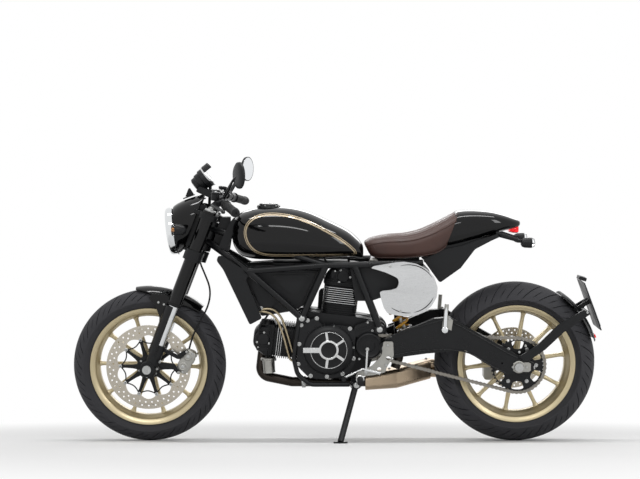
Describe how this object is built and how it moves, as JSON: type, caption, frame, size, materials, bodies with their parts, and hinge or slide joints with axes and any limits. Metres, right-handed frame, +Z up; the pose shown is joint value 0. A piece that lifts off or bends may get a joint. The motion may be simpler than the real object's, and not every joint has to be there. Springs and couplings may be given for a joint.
{
  "type": "cafe racer motorcycle",
  "caption": "Cafe racer motorcycle with an L-twin engine, tubular frame, cast wheels and oval side plates, leaning on its side stand.",
  "frame": {"origin": "middle of the machine's own floor area, on the floor, as it leans on its side stand", "axes": "+X towards the rear wheel, +Y towards the rider's right, +Z up"},
  "size_m": [2.0641, 0.7844, 1.1438],
  "materials": {
    "gloss_black": "gloss",
    "satin_black": "satin",
    "black_plastic": "matte",
    "gold_rim": "satin",
    "tyre_rubber": "matte",
    "grip_rubber": "matte",
    "seat_leather": "satin",
    "brushed_plate": "brushed",
    "bright_steel": "satin",
    "bright_chrome": "polished"
  },
  "bodies": {
    "chassis": {"head_tube": "satin_black", "frame_left": "satin_black", "frame_right": "satin_black", "side_panels": "black_plastic", "engine_block": "satin_black", "cylinders": "satin_black", "cylinder_heads": "satin_black", "engine_covers": "satin_black", "oil_cooler": "brushed_plate", "exhaust_pipes": "bright_steel", "muffler": "bright_steel", "fuel_tank": "gloss_black", "filler_cap": "bright_steel", "seat": "seat_leather", "tail_cowl": "gloss_black", "undertray": "black_plastic", "rear_lamps": "black_plastic", "side_covers": "brushed_plate", "swingarm_left": "satin_black", "swingarm_right": "satin_black", "swingarm_beam": "satin_black", "swingarm_shaft": "bright_steel", "rear_axle": "bright_steel", "rear_caliper": "brushed_plate", "shock_absorber": "satin_black", "chain": "bright_steel", "plate_holder": "satin_black", "rider_footrests": "brushed_plate", "passenger_footrests": "brushed_plate", "foot_controls": "bright_steel", "stand_bracket": "satin_black"},
    "steering": {"lower_yoke": "satin_black", "upper_yoke": "satin_black", "fork_outer_tubes": "satin_black", "fork_stanchions": "bright_chrome", "fork_feet": "satin_black", "front_axle": "bright_steel", "front_mudguard": "gloss_black", "front_caliper": "brushed_plate", "brake_hose": "grip_rubber", "headlamp": "bright_chrome", "nose_fairing": "gloss_black", "front_indicators": "black_plastic", "gauge": "satin_black", "handlebar": "satin_black", "grips": "grip_rubber", "hand_controls": "black_plastic", "mirrors": "black_plastic"},
    "front_wheel_set": {"front_tyre": "tyre_rubber", "front_wheel": "gold_rim", "front_disc": "bright_steel", "disc_carrier": "satin_black"},
    "rear_wheel_set": {"rear_tyre": "tyre_rubber", "rear_wheel": "gold_rim", "rear_sprocket": "bright_steel", "rear_disc": "bright_steel"},
    "stand": {"side_stand": "satin_black"}
  },
  "joints": [
    {"name": "steering_turn", "type": "hinge", "parent": "chassis", "child": "steering", "pos_m": [-0.4798, 0.012, 0.86368], "axis": [0.3584, -0.146, 0.9221], "range_deg": [-30, 30]},
    {"name": "front_wheel_spin", "type": "hinge", "parent": "steering", "child": "front_wheel_set", "pos_m": [-0.73215, 0.10174, 0.29707], "axis": [0, 0.9877, 0.1564], "continuous": true},
    {"name": "rear_wheel_spin", "type": "hinge", "parent": "chassis", "child": "rear_wheel_set", "pos_m": [0.70385, 0.09933, 0.31229], "axis": [0, 0.9877, 0.1564], "continuous": true},
    {"name": "stand_swing", "type": "hinge", "parent": "chassis", "child": "stand", "pos_m": [0.07632, -0.02357, 0.21891], "axis": [0.1001, -0.9948, -0.0188], "range_deg": [0, 118]}
  ]
}
